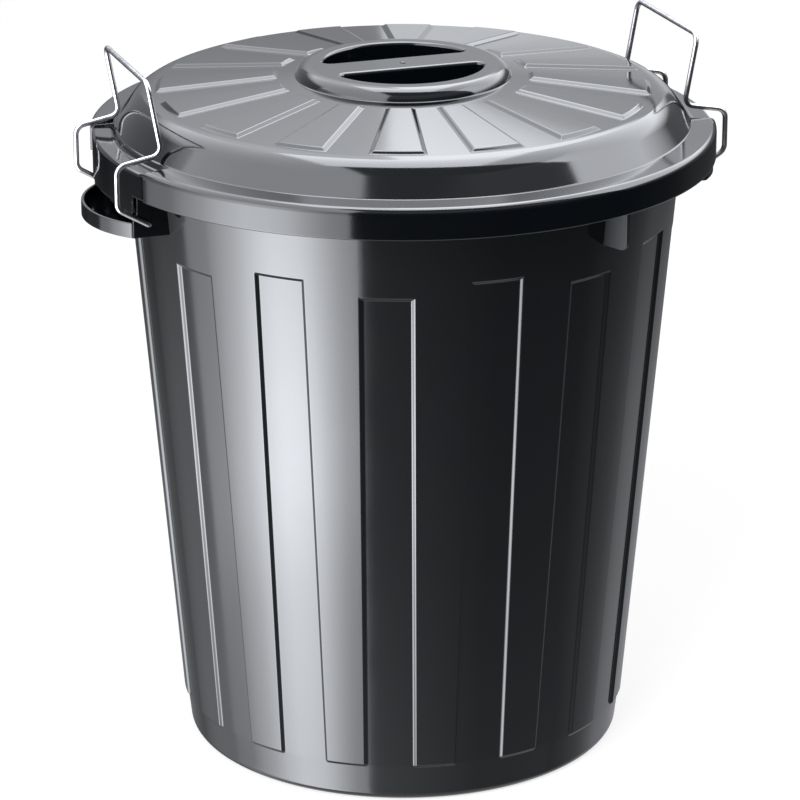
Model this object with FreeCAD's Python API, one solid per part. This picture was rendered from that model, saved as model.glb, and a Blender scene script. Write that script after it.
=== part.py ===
"""Round plastic bin with a lift-off lid and two bent-wire clips, in millimetres, +Z up.

The X axis runs through both clips, and the origin is on the floor under the tub's centre.
"""
import FreeCAD
import Part
import math
import os

Vector = FreeCAD.Vector
UP = Vector(0, 0, 1)
ACROSS = Vector(0, 1, 0)
CENTRE = Vector(0, 0, 0)
FULL_TURN = 360.0
HALF_TURN = 180.0

# Driving dimensions
lid_radius = 240.0
tub_height = 491.4
tub_foot_radius = 173.5
clip_half_width = 58.8
wire_diameter = 4.0
wire_radius = wire_diameter / 2

# One overrun serves every cutting shape, and one tolerance every search for an edge
overrun = 12.0
edge_tolerance = 0.01

# Lid: one moulding with a skirt, a flange that falls outward, a domed crown and a grip
lid_wall = 2.6
lid_gap = 0.4
lid_skirt_height = 22.8
lid_rim_round = 5.0
flange_width = 20.0
flange_fall = 1.6
flank_width = 17.4
flank_rise = 23.0
dome_foot_round = 2.0
dome_shoulder_round = 24.0
crown_rise = 11.1
dome_foot_radius = lid_radius - flange_width
dome_shoulder_radius = dome_foot_radius - flank_width
flange_edge_z = tub_height + lid_gap + lid_wall
flange_z = flange_edge_z + flange_fall
skirt_z = flange_edge_z - lid_skirt_height
shoulder_z = flange_z + flank_rise
crown_z = shoulder_z + crown_rise

# Grip: a low disc with a leaning side, round edges and two finger pockets, which leave a bar between them
grip_radius = 82.5
grip_lean = 5.8
grip_height = 9.2
grip_top_round = 12.0
grip_foot_round = 5.0
pocket_margin = 21.0
pocket_depth = 30.0
pocket_corner_round = 6.0
pocket_edge_round = 2.5
bar_half_width = 16.0
grip_z = crown_z + grip_height
pocket_radius = grip_radius - pocket_margin
pocket_z = grip_z - pocket_depth

# Raised panels on the crown
panel_count = 16
panel_turn = 2.1
panel_width_share = 0.58
panel_inner_margin = 13.5
panel_outer_margin = 13.2
panel_height = 2.2
panel_bevel = 3.6
panel_sink = 0.8
panel_inner_radius = grip_radius + panel_inner_margin
panel_outer_radius = dome_shoulder_radius - panel_outer_margin

# Seats sunk into the lid's rim under each clip, with a tab that hangs down between the lug's plates
seat_side_gap = 13.2
seat_drop = 3.1
seat_inset = 2.0
seat_toe = 1.5
seat_edge_round = 3.0
seat_clearance = 1.2
tab_side_gap = 1.3
tab_drop = 13.6
seat_half_width = clip_half_width + wire_radius + seat_side_gap
seat_inner_radius = dome_foot_radius + seat_toe
seat_z = flange_edge_z - seat_drop
tab_half_width = clip_half_width - wire_radius - tab_side_gap
tab_z = skirt_z - tab_drop

# Turned-out rim on top of the tub, which carries the lid
rim_thickness = 3.0
rim_width = 20.5
rim_lip_height = 9.0
rim_lip_thickness = 2.4
rim_radius = lid_radius - seat_inset - lid_wall - lid_gap
rim_under_z = tub_height - rim_thickness
seat_top_z = tub_height - seat_drop
seat_under_z = seat_top_z - rim_thickness

# Tub: a flared round wall, its radii taken over the raised strips
tub_wall = 2.6
tub_foot_round = 7.0
tub_mouth_radius = rim_radius - rim_width

# Lugs: a pair of plates joined by a bowed carrying loop with a floor, with holes for the clip's wire
lug_side_gap = 3.5
lug_wall = 3.0
lug_drop = 33.1
lug_loop_stand = 13.3
lug_loop_height = 11.8
lug_step = 3.0
lug_half_width = clip_half_width - lug_side_gap
lug_loop_reach = lid_radius + lug_loop_stand
lug_bottom = skirt_z - lug_drop
lug_neck_z = tab_z - lug_step - seat_clearance
lug_neck_reach = math.sqrt((rim_radius + lid_gap) ** 2 - lug_half_width ** 2) - seat_clearance
lug_plate_reach = lug_neck_reach + lug_step
lug_loop_bow = lug_loop_reach - lug_plate_reach
lug_loop_round = (lug_half_width ** 2 + lug_loop_bow ** 2) / (2 * lug_loop_bow)

# Pivot of a clip, in the lug's plates
pivot_inset = 12.1
pivot_rise = 10.0
pivot_clearance = 0.06
pivot_x = lug_plate_reach - pivot_inset
pivot_z = lug_bottom + pivot_rise

# Strips moulded into the tub's wall, raised and sunk in turn, with two lengths of sunk strip
strip_count = 16
strip_sunk_share = 0.5
strip_depth = 3.0
strip_relief = 0.2
strip_bevel = 2.0
strip_end_bevel = 2.5
strip_bottom = 29.5
strip_top_gap = 9.8
strip_stagger = 10.9
strip_period = FULL_TURN / strip_count
tall_strip_top = lug_bottom - strip_top_gap
short_strip_top = tall_strip_top - strip_stagger

# Two gusset plates that brace the rim against the wall
gusset_angles = (-64.5, 115.5)
gusset_thickness = 3.0
gusset_drop = 31.1
gusset_corner_round = 6.0
gusset_bottom = skirt_z - gusset_drop
gusset_reach = rim_radius - rim_lip_thickness / 2

# Clips of round steel wire: tips, legs past the rim, runs that rise over the seat, and a handle
clip_tip_stand = 3.3
clip_tip_bend = 3.0
clip_bend = 8.0
clip_elbow_rise = 14.5
clip_leg_gap = 1.2
clip_seat_gap = 2.2
clip_run_rise = 6.5
clip_heel_inset = 3.5
clip_handle_height = 54.6
clip_handle_lean = 9.7
clip_tip_y = lug_half_width - lug_wall - clip_tip_stand
clip_elbow_z = pivot_z + clip_elbow_rise
clip_leg_x = lid_radius + clip_leg_gap + wire_radius
clip_heel_x = math.sqrt(dome_foot_radius ** 2 - clip_half_width ** 2) - clip_heel_inset
clip_run_z = seat_z + clip_seat_gap + wire_radius
clip_heel_z = clip_run_z + clip_run_rise
clip_handle_x = clip_heel_x + clip_handle_lean
clip_handle_z = clip_heel_z + clip_handle_height


def tub_radius(z):
    """Outer radius of the raised strips at height z."""
    return tub_foot_radius + (tub_mouth_radius - tub_foot_radius) * z / tub_height


def crown_height(radius):
    """Height of the crown's conical face at a radius, without its panels."""
    fall = crown_rise / (dome_shoulder_radius - grip_radius)
    return crown_z - fall * (radius - grip_radius)


def polar(radius, degrees, z):
    """Point at a radius and angle about the tub's axis."""
    turn = math.radians(degrees)
    return Vector(radius * math.cos(turn), radius * math.sin(turn), z)


def rounded_path(points, rounds):
    """Straight edges through the points, with an arc of the given radius at each corner."""
    edges = []
    start = points[0]
    for before, corner, after, radius in zip(points, points[1:], points[2:], rounds):
        to_before = (before - corner).normalize()
        to_after = (after - corner).normalize()
        half = to_before.getAngle(to_after) / 2
        reach = radius / math.tan(half)
        arc_start = corner + to_before * reach
        arc_end = corner + to_after * reach
        edges.append(Part.LineSegment(start, arc_start).toShape())
        if radius:
            middle = (to_before + to_after).normalize()
            arc_middle = corner + middle * (radius / math.sin(half) - radius)
            edges.append(Part.Arc(arc_start, arc_middle, arc_end).toShape())
        start = arc_end
    edges.append(Part.LineSegment(start, points[-1]).toShape())
    return edges


def rounded_face(points, rounds):
    """Flat face inside a rounded path, closed by a straight edge."""
    edges = rounded_path(points, rounds)
    edges.append(Part.LineSegment(points[-1], points[0]).toShape())
    return Part.Face(Part.Wire(edges))


def turned(outline):
    """Solid turned about the axis from (radius, height, corner round) points."""
    points = [Vector(radius, 0, z) for radius, z, corner in outline]
    rounds = [corner for radius, z, corner in outline[1:-1]]
    return rounded_face(points, rounds).revolve(CENTRE, UP, FULL_TURN)


def end_ring(outline, half_width):
    """Turned ring, kept only within a half width of the X axis at the +X end."""
    keep = Part.makeBox(lug_loop_reach, 2 * half_width, grip_z, Vector(0, -half_width, 0))
    return turned(outline).common(keep)


def both_ends(shape):
    """The shape at the +X end and its twin at the -X end."""
    twin = shape.copy()
    twin.rotate(CENTRE, UP, HALF_TURN)
    return [shape, twin]


def inward(outline, wall):
    """Outline moved inward by a wall, from points that run outward and then down."""
    moved = []
    last = len(outline) - 1
    for index, (radius, z, corner) in enumerate(outline):
        normals = []
        for first in (max(index - 1, 0), min(index, last - 1)):
            rise = outline[first + 1][1] - outline[first][1]
            run = outline[first + 1][0] - outline[first][0]
            normals.append(Vector(rise, -run, 0).normalize())
        normal = (normals[0] + normals[1]).normalize()
        place = Vector(radius, z, 0) + normal * (wall / normal.dot(normals[0]))
        hollow = normals[0].cross(normals[1]).z > 0
        inner = corner + wall if hollow else corner - wall
        moved.append((place.x, place.y, max(inner, 0)))
    return moved


def sunk_strip(index, wall):
    """Cutting shape of one sunk strip, or of its back when moved in by the wall."""
    middle = index * strip_period
    half = strip_period * strip_sunk_share / 2
    top = (tall_strip_top, short_strip_top)[index % 2] + wall
    depth = strip_depth - strip_relief
    sections = []
    for z, sunk in ((strip_bottom - strip_end_bevel, depth), (top - strip_end_bevel, depth),
                    (top + strip_relief, -strip_relief)):
        face = tub_radius(z) - wall
        floor_radius = face - sunk
        mouth_radius = face + strip_depth
        bevel = math.degrees(strip_bevel / face)
        narrow = half + math.degrees(wall / face) - bevel * sunk / strip_depth / 2
        wide = narrow + bevel * (mouth_radius - floor_radius) / strip_depth
        corners = [polar(floor_radius, middle - narrow, z), polar(floor_radius, middle + narrow, z),
                   polar(mouth_radius, middle + wide, z), polar(mouth_radius, middle - wide, z)]
        sections.append(Part.Wire([
            Part.Arc(corners[0], polar(floor_radius, middle, z), corners[1]).toShape(),
            Part.LineSegment(corners[1], corners[2]).toShape(),
            Part.Arc(corners[2], polar(mouth_radius, middle, z), corners[3]).toShape(),
            Part.LineSegment(corners[3], corners[0]).toShape()]))
    return Part.makeLoft(sections, True, True)


def tub_skin(wall):
    """Filled tub form with its strips, or the cavity inside it when moved in by the wall."""
    step_z = strip_bottom + strip_end_bevel
    body = turned([
        (0, tub_height, 0), (tub_mouth_radius - wall, tub_height, 0),
        (tub_radius(step_z) - wall, step_z + wall, 0),
        (tub_radius(strip_bottom) - strip_depth - wall, strip_bottom + wall, 0),
        (tub_foot_radius - strip_depth - wall, wall, max(tub_foot_round - wall, 0)), (0, wall, 0)])
    return body.cut([sunk_strip(index, wall) for index in range(strip_count)])


def tub_rim():
    """Turned-out rim with its lip, lowered where the lid's seats come down."""
    lip_z = rim_under_z - rim_lip_height
    lip_radius = rim_radius - rim_lip_thickness
    ring = turned([(0, tub_height, 0), (rim_radius, tub_height, 0), (rim_radius, lip_z, 0),
                   (lip_radius, lip_z, 0), (lip_radius, rim_under_z, 0), (0, rim_under_z, 0)])
    inner = tub_mouth_radius - tub_wall
    notch_width = seat_half_width + lid_wall + seat_clearance
    notch_radius = seat_inner_radius - lid_wall - seat_clearance
    ledge = end_ring([(inner, tub_height, 0), (rim_radius, tub_height, 0), (rim_radius, seat_under_z, 0),
                      (inner, seat_under_z, 0)], notch_width + rim_thickness)
    notch = end_ring([(notch_radius, seat_top_z, 0), (rim_radius + overrun, seat_top_z, 0),
                      (rim_radius + overrun, tub_height + overrun, 0),
                      (notch_radius, tub_height + overrun, 0)], notch_width)
    return ring.fuse(both_ends(ledge)).cut(both_ends(notch))


def gusset(degrees):
    """Upright plate from the wall out under the rim, its lower outer corner rounded."""
    root = tub_radius(gusset_bottom) - tub_wall
    points = [Vector(root, 0, rim_under_z), Vector(root, 0, gusset_bottom),
              Vector(gusset_reach, 0, gusset_bottom), Vector(gusset_reach, 0, rim_under_z)]
    plate = rounded_face(points, [0, gusset_corner_round]).extrude(ACROSS * gusset_thickness)
    plate.translate(ACROSS * (-gusset_thickness / 2))
    plate.rotate(CENTRE, UP, degrees)
    return plate


def loop_form(wall):
    """Filled form of the carrying loop, or the hollow in it when moved in by the wall."""
    root = tub_radius(lug_bottom) - tub_wall - overrun
    half_width = lug_half_width - wall
    round_x = lug_loop_reach - lug_loop_round
    side_x = round_x + math.sqrt((lug_loop_round - wall) ** 2 - half_width ** 2)
    plan = [(root, half_width), (side_x, half_width), (lug_loop_reach - wall, 0), (side_x, -half_width),
            (root, -half_width)]
    start, side, front, other_side, other_start = [Vector(x, y, lug_bottom + wall) for x, y in plan]
    outline = Part.Wire([
        Part.LineSegment(start, side).toShape(), Part.Arc(side, front, other_side).toShape(),
        Part.LineSegment(other_side, other_start).toShape(), Part.LineSegment(other_start, start).toShape()])
    return Part.Face(outline).extrude(UP * lug_loop_height)


def lug():
    """Carrying loop and two plates at the +X end, with the holes that take the clip's wire."""
    loop = loop_form(0).cut(loop_form(lug_wall))
    root = tub_radius(lug_bottom) - tub_wall - overrun
    side = [(root, lug_bottom), (lug_plate_reach, lug_bottom), (lug_plate_reach, lug_neck_z),
            (lug_neck_reach, lug_neck_z + lug_step), (lug_neck_reach, seat_top_z), (root, seat_top_z)]
    points = [Vector(x, -lug_half_width, z) for x, z in side]
    near = Part.Face(Part.makePolygon(points + points[:1])).extrude(ACROSS * lug_wall)
    far = near.copy()
    far.translate(ACROSS * (2 * lug_half_width - lug_wall))
    hole_start = Vector(pivot_x, -lug_half_width, pivot_z)
    hole = Part.makeCylinder(wire_radius + pivot_clearance, 2 * lug_half_width, hole_start, ACROSS)
    return loop.fuse([near, far]).cut(hole)


def tub():
    """Tub with its rim, lugs and gussets in one moulding."""
    extras = [tub_rim()] + both_ends(lug()) + [gusset(degrees) for degrees in gusset_angles]
    mouth = Part.makeCylinder(tub_mouth_radius - tub_wall, overrun, Vector(0, 0, tub_height))
    return tub_skin(0).fuse(extras).cut([tub_skin(tub_wall), mouth]).removeSplitter()


def lid_seat(wall):
    """Part of the rim that is sunk under a clip, moved in by the wall."""
    inner = seat_inner_radius - wall
    outer = lid_radius - seat_inset - wall
    floor_z = seat_z - wall
    clear = lid_radius + overrun
    return end_ring([(inner, flange_z + overrun, 0), (inner, floor_z, 0),
                     (outer, floor_z, max(seat_edge_round - wall, 0)), (outer, skirt_z - overrun, 0),
                     (clear, skirt_z - overrun, 0), (clear, flange_z + overrun, 0)], seat_half_width + wall)


def lid_tab():
    """Tab that hangs from the seat's skirt at the +X end, between the plates of the lug."""
    outer = lid_radius - seat_inset
    inner = outer - lid_wall
    return end_ring([(inner, tab_z, 0), (outer, tab_z, 0), (outer, skirt_z + overrun, 0),
                     (inner, skirt_z + overrun, 0)], tab_half_width)


def panel(index, wall):
    """One raised panel of the crown with sloping sides, lowered and narrowed by the wall."""
    middle = index * FULL_TURN / panel_count + panel_turn
    half = FULL_TURN / panel_count * panel_width_share / 2
    sections = []
    for rise, bevel in ((-panel_sink, 0), (panel_height, panel_bevel)):
        inset = bevel + wall
        near = panel_inner_radius + inset
        far = panel_outer_radius - inset
        corners = []
        for radius, side in ((near, -1), (near, 1), (far, 1), (far, -1)):
            spread = side * (half - math.degrees(inset / radius))
            corners.append(polar(radius, middle + spread, crown_height(radius) + rise - wall))
        sections.append(Part.makePolygon(corners + corners[:1]))
    return Part.makeLoft(sections, True, True)


def pocket(wall):
    """One finger pocket of the grip, on the +Y side of the bar, enlarged by the wall."""
    radius = pocket_radius + wall
    edge_y = bar_half_width - wall
    edge_x = math.sqrt(radius ** 2 - edge_y ** 2)
    left, right, far = [Vector(x, y, pocket_z - wall) for x, y in
                        ((-edge_x, edge_y), (edge_x, edge_y), (0, radius))]
    outline = Part.Wire([Part.LineSegment(left, right).toShape(), Part.Arc(right, far, left).toShape()])
    well = Part.Face(outline).extrude(UP * (pocket_depth + overrun))
    upright = [edge for edge in well.Edges if edge.BoundBox.ZLength > pocket_depth]
    return well.makeFillet(pocket_corner_round + wall, upright)


def lid_form(outline, wall):
    """Filled form of the lid with its seats, panels and pockets, all moved in by the wall."""
    form = turned(outline).cut(both_ends(lid_seat(wall)))
    form = form.fuse([panel(index, wall) for index in range(panel_count)])
    return form.cut(both_ends(pocket(wall)))


def lid():
    """Lid shell: its outer form less the same form moved in by the wall."""
    outline = [(0, grip_z, 0), (grip_radius - grip_lean, grip_z, grip_top_round),
               (grip_radius, crown_z, grip_foot_round),
               (dome_shoulder_radius, shoulder_z, dome_shoulder_round),
               (dome_foot_radius, flange_z, dome_foot_round), (lid_radius, flange_edge_z, lid_rim_round),
               (lid_radius, skirt_z, 0)]
    outer = lid_form(outline + [(0, skirt_z, 0)], 0)
    lips = [edge for edge in outer.Edges if edge.BoundBox.ZMin > grip_z - edge_tolerance
            and edge.BoundBox.DiagonalLength < 2 * grip_radius]
    under = inward(outline, lid_wall)
    low = skirt_z - overrun
    hollow = lid_form(under[:-1] + [(under[-1][0], low, 0), (0, low, 0)], lid_wall)
    shell = outer.makeFillet(pocket_edge_round, lips).cut(hollow)
    return shell.fuse(both_ends(lid_tab())).removeSplitter()


def clip():
    """Wire clip at the +X end, bent from one length of wire that ends in the lug's holes."""
    side = [(pivot_x, pivot_z), (clip_leg_x, clip_elbow_z), (clip_leg_x, clip_run_z),
            (clip_heel_x, clip_heel_z), (clip_handle_x, clip_handle_z)]
    tip = Vector(pivot_x, clip_tip_y, pivot_z)
    points = [tip] + [Vector(x, clip_half_width, z) for x, z in side]
    points += [Vector(point.x, -point.y, point.z) for point in reversed(points)]
    bends = [clip_tip_bend] + [clip_bend] * (len(side) - 1)
    path = Part.Wire(rounded_path(points, bends + bends[::-1]))
    section = Part.Wire(Part.makeCircle(wire_radius, tip, ACROSS))
    return path.makePipeShell([section], True, False)


def main():
    """Build every node and write its file."""
    right_clip, left_clip = both_ends(clip())
    nodes = {"tub": tub(), "lid": lid(), "right_clip": right_clip, "left_clip": left_clip}
    os.makedirs("parts", exist_ok=True)
    for name, shape in nodes.items():
        shape.exportStep(f"parts/{name}.step")
        box = shape.optimalBoundingBox(False, False)
        print(name, "solids", len(shape.Solids), "valid", shape.isValid(), "volume", round(shape.Volume),
              "x", round(box.XMin, 1), round(box.XMax, 1), "z", round(box.ZMin, 1), round(box.ZMax, 1))


main()
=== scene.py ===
import math
import bmesh
import bpy
from mathutils import Matrix, Vector


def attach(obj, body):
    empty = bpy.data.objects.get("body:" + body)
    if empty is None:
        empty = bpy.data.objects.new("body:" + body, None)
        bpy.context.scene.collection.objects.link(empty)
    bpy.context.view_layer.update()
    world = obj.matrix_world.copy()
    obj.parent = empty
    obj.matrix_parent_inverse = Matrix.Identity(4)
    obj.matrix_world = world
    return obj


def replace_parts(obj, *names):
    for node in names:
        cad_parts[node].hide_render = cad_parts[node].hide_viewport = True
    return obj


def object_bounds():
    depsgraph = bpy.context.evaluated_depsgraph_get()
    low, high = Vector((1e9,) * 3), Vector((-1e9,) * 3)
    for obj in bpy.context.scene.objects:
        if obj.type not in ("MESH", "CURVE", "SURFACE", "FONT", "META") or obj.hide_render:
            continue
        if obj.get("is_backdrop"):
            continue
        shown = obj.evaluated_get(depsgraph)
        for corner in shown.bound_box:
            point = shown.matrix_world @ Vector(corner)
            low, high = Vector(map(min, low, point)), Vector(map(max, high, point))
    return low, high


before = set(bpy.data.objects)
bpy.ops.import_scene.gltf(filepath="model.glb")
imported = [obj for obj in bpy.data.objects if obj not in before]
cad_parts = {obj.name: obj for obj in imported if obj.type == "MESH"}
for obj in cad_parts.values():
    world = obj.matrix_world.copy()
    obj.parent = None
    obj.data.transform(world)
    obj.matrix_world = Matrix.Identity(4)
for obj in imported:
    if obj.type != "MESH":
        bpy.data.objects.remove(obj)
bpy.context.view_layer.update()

# Tub wall: one thin shell of glossy black plastic, injection moulded in a single shot. Sixteen shallow
# strips are sunk into its flared side to stiffen it, long and short in turn, above a plain foot band.
# All sizes are in millimetres, and a mesh is brought to metres when it is made.
MM = 0.001
tub_height = 491.4
foot_radius = 173.5
mouth_radius = 214.5
tub_thickness = 2.6
foot_round = 7.0
strip_count = 16
strip_depth = 3.0
strip_share = 0.75
strip_edge = 3.2
strip_half_width = 18.9
strip_middle_radius = 194.0
strip_bottom = 30.7
tall_strip_top = 427.6
short_strip_top = 416.7
wall_top = 489.8
foot_overrun = 1.3
edge_reach = 2.0
strip_step = 360 / strip_count
edge_turn = math.degrees(strip_edge / strip_middle_radius)
plastic_black = (0.0026, 0.0042, 0.0064)


def ramp(t):
    """Rounded rise from 0 to 1."""
    t = min(max(t, 0.0), 1.0)
    return t * t * (3 - 2 * t)


def across(middle, width, support=0.4):
    """Places across a rounded edge, close together, with one more place beside each end."""
    shares = (0, 0.08, 0.2, 0.35, 0.5, 0.65, 0.8, 0.92, 1)
    start = middle - width / 2
    return [start - support] + [start + width * share for share in shares] + [start + width + support]


def between(start, stop, count):
    """Even places between two ends, without the ends."""
    return [start + (stop - start) * (step + 1) / (count + 1) for step in range(count)]


def rounded_line(corners, arc_steps=8, support=0.4):
    """Points along (radius, height, round) corners, with an arc at each round and a point beside its ends."""
    flat = [Vector(corner[:2]) for corner in corners]
    line = [flat[0]]
    for before, here, after, corner in zip(flat, flat[1:], flat[2:], corners[1:]):
        back = (before - here).normalized()
        on = (after - here).normalized()
        if corner[2] == 0:
            line.append(here)
            continue
        half = back.angle(on) / 2
        reach = corner[2] / math.tan(half)
        centre = here + (back + on).normalized() * (corner[2] / math.sin(half))
        first = here + back * reach - centre
        last = here + on * reach - centre
        turn = math.pi - 2 * half
        line.append(centre + first + back * support)
        for step in range(arc_steps + 1):
            part = step / arc_steps
            spoke = first * math.sin((1 - part) * turn) + last * math.sin(part * turn)
            line.append(centre + spoke / math.sin(turn))
        line.append(centre + last + on * support)
    line.append(flat[-1])
    return line


def sheet(rows, closed):
    """Quads over rows of points in millimetres, with each row joined end to end if closed."""
    shape = bmesh.new()
    grid = [[shape.verts.new(Vector(point) * MM) for point in row] for row in rows]
    for lower, upper in zip(grid, grid[1:]):
        quads = list(zip(lower, lower[1:] + lower[:1], upper[1:] + upper[:1], upper))
        for quad in quads if closed else quads[:-1]:
            shape.faces.new(quad)
    bmesh.ops.remove_doubles(shape, verts=shape.verts, dist=0.002 * MM)
    return shape


def placed(name, data):
    """New object in the scene that holds some data."""
    made = bpy.data.objects.new(name, data)
    bpy.context.scene.collection.objects.link(made)
    return made


def piece(name, shape, material):
    """New object from a shape, at the origin, smooth and with its faces pointing outwards."""
    bmesh.ops.recalc_face_normals(shape, faces=shape.faces)
    mesh = bpy.data.meshes.new(name)
    shape.to_mesh(mesh)
    shape.free()
    mesh.polygons.foreach_set("use_smooth", [True] * len(mesh.polygons))
    mesh.materials.append(material)
    return placed(name, mesh)


def link(tree, source, target):
    """Joins an output socket to an input socket."""
    tree.links.new(source, target)


def node(tree, kind, place, **values):
    """New node at a (column, row) place, with its properties set."""
    made = tree.nodes.new(kind)
    made.location = (place[0] * 200, place[1] * -180)
    for key, value in values.items():
        setattr(made, key, value)
    return made


repeat_round = bpy.data.node_groups.new("repeat_round", "GeometryNodeTree")
repeat_round.interface.new_socket("Part", in_out="INPUT", socket_type="NodeSocketGeometry")
repeat_count = repeat_round.interface.new_socket("Count", in_out="INPUT", socket_type="NodeSocketInt")
repeat_finish = repeat_round.interface.new_socket("Finish", in_out="INPUT", socket_type="NodeSocketMaterial")
repeat_round.interface.new_socket("Whole", in_out="OUTPUT", socket_type="NodeSocketGeometry")
r_in = node(repeat_round, "NodeGroupInput", (0, 0))
r_points = node(repeat_round, "GeometryNodePoints", (1, 0))
r_index = node(repeat_round, "GeometryNodeInputIndex", (0, 2))
r_turn = node(repeat_round, "ShaderNodeMath", (1, 2), operation="DIVIDE")
r_angle = node(repeat_round, "ShaderNodeMath", (2, 2), operation="MULTIPLY")
r_angle.inputs[1].default_value = 2 * math.pi
r_axis = node(repeat_round, "ShaderNodeCombineXYZ", (3, 2))
r_rotation = node(repeat_round, "FunctionNodeEulerToRotation", (4, 2))
r_instances = node(repeat_round, "GeometryNodeInstanceOnPoints", (5, 0))
r_real = node(repeat_round, "GeometryNodeRealizeInstances", (6, 0))
r_merge = node(repeat_round, "GeometryNodeMergeByDistance", (7, 0))
r_merge.inputs["Distance"].default_value = 0.005 * MM
r_smooth = node(repeat_round, "GeometryNodeSetShadeSmooth", (8, 0))
r_finish = node(repeat_round, "GeometryNodeSetMaterial", (9, 0))
r_out = node(repeat_round, "NodeGroupOutput", (10, 0))
link(repeat_round, r_in.outputs["Count"], r_points.inputs["Count"])
link(repeat_round, r_index.outputs["Index"], r_turn.inputs[0])
link(repeat_round, r_in.outputs["Count"], r_turn.inputs[1])
link(repeat_round, r_turn.outputs[0], r_angle.inputs[0])
link(repeat_round, r_angle.outputs[0], r_axis.inputs["Z"])
link(repeat_round, r_axis.outputs[0], r_rotation.inputs[0])
link(repeat_round, r_points.outputs[0], r_instances.inputs["Points"])
link(repeat_round, r_in.outputs["Part"], r_instances.inputs["Instance"])
link(repeat_round, r_rotation.outputs[0], r_instances.inputs["Rotation"])
link(repeat_round, r_instances.outputs[0], r_real.inputs[0])
link(repeat_round, r_real.outputs[0], r_merge.inputs["Geometry"])
link(repeat_round, r_merge.outputs[0], r_smooth.inputs[0])
link(repeat_round, r_smooth.outputs[0], r_finish.inputs["Geometry"])
link(repeat_round, r_in.outputs["Finish"], r_finish.inputs["Material"])
link(repeat_round, r_finish.outputs[0], r_out.inputs["Whole"])


def finished_mesh(made):
    """New mesh with the shape that an object's modifiers give it."""
    bpy.context.view_layer.update()
    graph = bpy.context.evaluated_depsgraph_get()
    return bpy.data.meshes.new_from_object(made.evaluated_get(graph))


def plain(made):
    """Turns the object's modifiers into a plain mesh with its faces pointing outwards."""
    mesh = finished_mesh(made)
    made.modifiers.clear()
    old = made.data
    made.data = mesh
    bpy.data.meshes.remove(old)
    shape = bmesh.new()
    shape.from_mesh(mesh)
    bmesh.ops.recalc_face_normals(shape, faces=shape.faces)
    shape.to_mesh(mesh)
    shape.free()
    mesh.name = made.name
    return made


def repeated(made, count, material):
    """Repeats the object about the bin's axis."""
    modifier = made.modifiers.new("repeat", "NODES")
    modifier.node_group = repeat_round
    modifier[repeat_count.identifier] = count
    modifier[repeat_finish.identifier] = material
    return plain(made)


moulded_skin = bpy.data.node_groups.new("moulded_skin", "ShaderNodeTree")
for label, kind in (("Gloss", "NodeSocketFloat"), ("Gloss Change", "NodeSocketFloat"),
                    ("Colour", "NodeSocketColor")):
    moulded_skin.interface.new_socket(label, in_out="INPUT", socket_type=kind)
for label, kind in (("Colour", "NodeSocketColor"), ("Roughness", "NodeSocketFloat"),
                    ("Height", "NodeSocketFloat")):
    moulded_skin.interface.new_socket(label, in_out="OUTPUT", socket_type=kind)
m_in = node(moulded_skin, "NodeGroupInput", (0, 0))
m_place = node(moulded_skin, "ShaderNodeTexCoord", (0, 2))
m_peel = node(moulded_skin, "ShaderNodeTexNoise", (1, 1))
m_peel.inputs["Scale"].default_value = 420.0
m_peel.inputs["Detail"].default_value = 2.0
m_wave = node(moulded_skin, "ShaderNodeTexNoise", (1, 2))
m_wave.inputs["Scale"].default_value = 9.0
m_wave.inputs["Detail"].default_value = 1.0
m_haze = node(moulded_skin, "ShaderNodeTexNoise", (1, 3))
m_haze.inputs["Scale"].default_value = 26.0
m_haze.inputs["Detail"].default_value = 5.0
m_stretch = node(moulded_skin, "ShaderNodeMapping", (1, 4))
m_stretch.inputs["Rotation"].default_value = (0.5, 0.3, 0.9)
m_stretch.inputs["Scale"].default_value = (900.0, 60.0, 900.0)
m_hairs = node(moulded_skin, "ShaderNodeTexNoise", (2, 4))
m_hairs.inputs["Scale"].default_value = 1.0
m_hairs.inputs["Detail"].default_value = 3.0
m_scratch = node(moulded_skin, "ShaderNodeMapRange", (3, 4))
m_scratch.inputs["From Min"].default_value = 0.66
m_scratch.inputs["From Max"].default_value = 0.78
m_haze_range = node(moulded_skin, "ShaderNodeMapRange", (2, 3))
m_haze_range.inputs["From Min"].default_value = 0.3
m_haze_range.inputs["From Max"].default_value = 0.7
m_haze_range.inputs["To Min"].default_value = -0.5
m_haze_range.inputs["To Max"].default_value = 0.5
m_sum = node(moulded_skin, "ShaderNodeMath", (4, 3), operation="ADD")
m_rough = node(moulded_skin, "ShaderNodeMath", (5, 2), operation="MULTIPLY_ADD")
m_fine = node(moulded_skin, "ShaderNodeMath", (2, 1), operation="MULTIPLY")
m_fine.inputs[1].default_value = 0.05
m_height = node(moulded_skin, "ShaderNodeMath", (3, 1), operation="ADD")
m_shade = node(moulded_skin, "ShaderNodeMix", (4, 0), data_type="RGBA", blend_type="MULTIPLY")
m_shade.inputs["Factor"].default_value = 0.35
m_out = node(moulded_skin, "NodeGroupOutput", (6, 0))
for texture in (m_peel, m_wave, m_haze):
    link(moulded_skin, m_place.outputs["Object"], texture.inputs["Vector"])
link(moulded_skin, m_place.outputs["Object"], m_stretch.inputs["Vector"])
link(moulded_skin, m_stretch.outputs[0], m_hairs.inputs["Vector"])
link(moulded_skin, m_hairs.outputs[0], m_scratch.inputs["Value"])
link(moulded_skin, m_haze.outputs[0], m_haze_range.inputs["Value"])
link(moulded_skin, m_haze_range.outputs[0], m_sum.inputs[0])
link(moulded_skin, m_scratch.outputs[0], m_sum.inputs[1])
link(moulded_skin, m_sum.outputs[0], m_rough.inputs[0])
link(moulded_skin, m_in.outputs["Gloss Change"], m_rough.inputs[1])
link(moulded_skin, m_in.outputs["Gloss"], m_rough.inputs[2])
link(moulded_skin, m_peel.outputs[0], m_fine.inputs[0])
link(moulded_skin, m_fine.outputs[0], m_height.inputs[0])
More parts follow.
